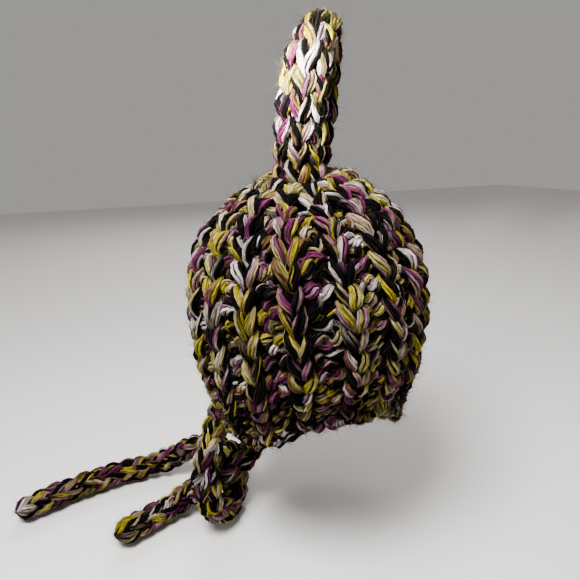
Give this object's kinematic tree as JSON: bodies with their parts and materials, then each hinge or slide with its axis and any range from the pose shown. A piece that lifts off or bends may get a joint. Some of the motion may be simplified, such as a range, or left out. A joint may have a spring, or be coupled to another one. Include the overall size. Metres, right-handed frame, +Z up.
{
  "type": "knitted beanie with top loop and ties",
  "caption": "Chunky ribbed knitted beanie with a standing knitted loop on its crown and two knitted ties in a loose half knot.",
  "frame": {"origin": "where the top of the head touches the inside of the crown", "axes": "+Z up, +Y the way the wearer looks, +X to the wearer's right"},
  "size_m": [0.348, 0.2373, 0.4234],
  "materials": {
    "crown_yarn": "chunky ribbed knit of black, yellow, purple, white and tan strands",
    "loop_yarn": "knitted cord of the same strands",
    "tie_yarn": "knitted cord of the same strands"
  },
  "bodies": {
    "root": {"crown_body": "crown_yarn", "top_loop": "loop_yarn", "tie_left": "tie_yarn", "tie_right": "tie_yarn"}
  },
  "joints": []
}
